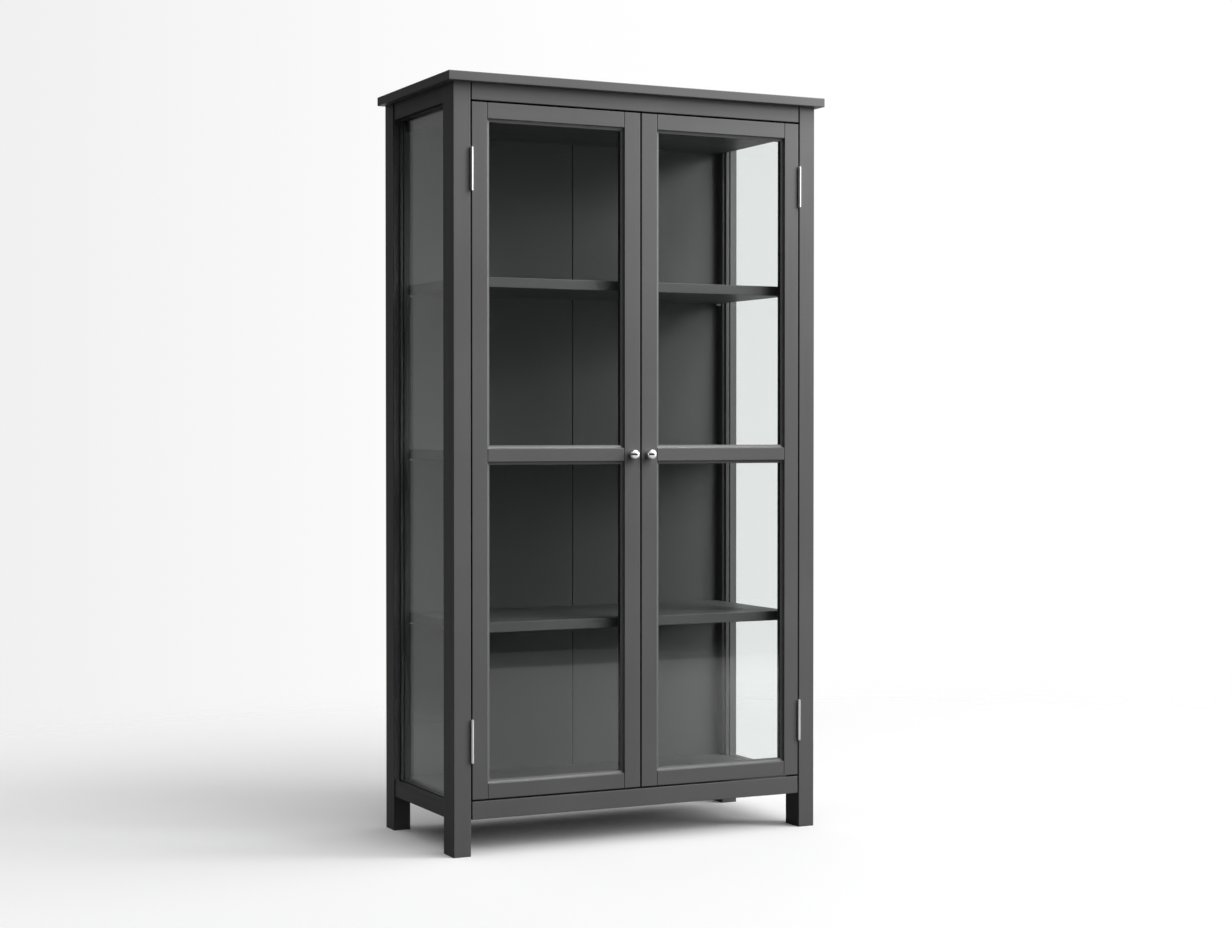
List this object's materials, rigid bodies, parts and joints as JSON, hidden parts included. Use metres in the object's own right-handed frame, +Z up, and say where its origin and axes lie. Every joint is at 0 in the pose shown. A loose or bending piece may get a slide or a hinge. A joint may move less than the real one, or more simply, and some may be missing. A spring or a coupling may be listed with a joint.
{
  "type": "glazed display cabinet",
  "caption": "Tall free-standing display case: painted timber frame on legs, glazed sides, two glazed doors on butt hinges with ball knobs, and loose shelves.",
  "frame": {"origin": "on the floor, under the middle of the case's outline seen from above (slab and knobs included)", "axes": "+Z up, -Y towards someone facing the doors, +X to the right of that person"},
  "size_m": [1.03, 0.493, 1.86],
  "materials": {
    "painted_timber": "satin dark grey paint",
    "painted_board": "satin dark grey paint on fibreboard",
    "clear_glass": "clear float glass",
    "satin_nickel": "satin nickel plate",
    "polished_chrome": "polished",
    "zinc_plated_steel": "zinc plate",
    "beech_dowel": "plain beech"
  },
  "bodies": {
    "case": {"back_batten": "painted_timber", "ceiling_panel": "painted_timber", "door_magnets": "zinc_plated_steel", "floor_panel": "painted_timber", "front_bottom_rail": "painted_timber", "front_top_rail": "painted_timber", "hinge_pins": "satin_nickel", "hinge_post_leaves": "satin_nickel", "hinge_post_screws": "satin_nickel", "left_back_board": "painted_board", "left_front_post": "painted_timber", "left_rear_post": "painted_timber", "left_side_bottom_rail": "painted_timber", "left_side_glass": "clear_glass", "left_side_inner_beads": "painted_timber", "left_side_outer_beads": "painted_timber", "left_side_top_rail": "painted_timber", "lower_shelf": "painted_timber", "middle_shelf": "painted_timber", "rear_bottom_rail": "painted_timber", "rear_top_rail": "painted_timber", "right_back_board": "painted_board", "right_front_post": "painted_timber", "right_rear_post": "painted_timber", "right_side_bottom_rail": "painted_timber", "right_side_glass": "clear_glass", "right_side_inner_beads": "painted_timber", "right_side_outer_beads": "painted_timber", "right_side_top_rail": "painted_timber", "shelf_pins": "zinc_plated_steel", "slab_dowels": "beech_dowel", "top_slab": "painted_timber", "upper_shelf": "painted_timber"},
    "left_door": {"left_door_beads": "painted_timber", "left_door_bottom_rail": "painted_timber", "left_door_hinge_stile": "painted_timber", "left_door_knob": "polished_chrome", "left_door_lower_glass": "clear_glass", "left_door_meeting_stile": "painted_timber", "left_door_middle_rail": "painted_timber", "left_door_top_rail": "painted_timber", "left_door_upper_glass": "clear_glass", "left_hinge_door_leaves": "satin_nickel", "left_hinge_door_screws": "satin_nickel", "left_knob_screw": "zinc_plated_steel", "left_strike_plate": "zinc_plated_steel"},
    "right_door": {"right_door_beads": "painted_timber", "right_door_bottom_rail": "painted_timber", "right_door_hinge_stile": "painted_timber", "right_door_knob": "polished_chrome", "right_door_lower_glass": "clear_glass", "right_door_meeting_stile": "painted_timber", "right_door_middle_rail": "painted_timber", "right_door_top_rail": "painted_timber", "right_door_upper_glass": "clear_glass", "right_hinge_door_leaves": "satin_nickel", "right_hinge_door_screws": "satin_nickel", "right_knob_screw": "zinc_plated_steel", "right_strike_plate": "zinc_plated_steel"}
  },
  "joints": [
    {"name": "left_door_hinge", "type": "hinge", "parent": "case", "child": "left_door", "pos_m": [-0.45025, -0.2255, 0.96375], "axis": [0, 0, -1], "range_deg": [0, 175]},
    {"name": "right_door_hinge", "type": "hinge", "parent": "case", "child": "right_door", "pos_m": [0.45025, -0.2255, 0.96375], "axis": [0, 0, 1], "range_deg": [0, 175]}
  ]
}
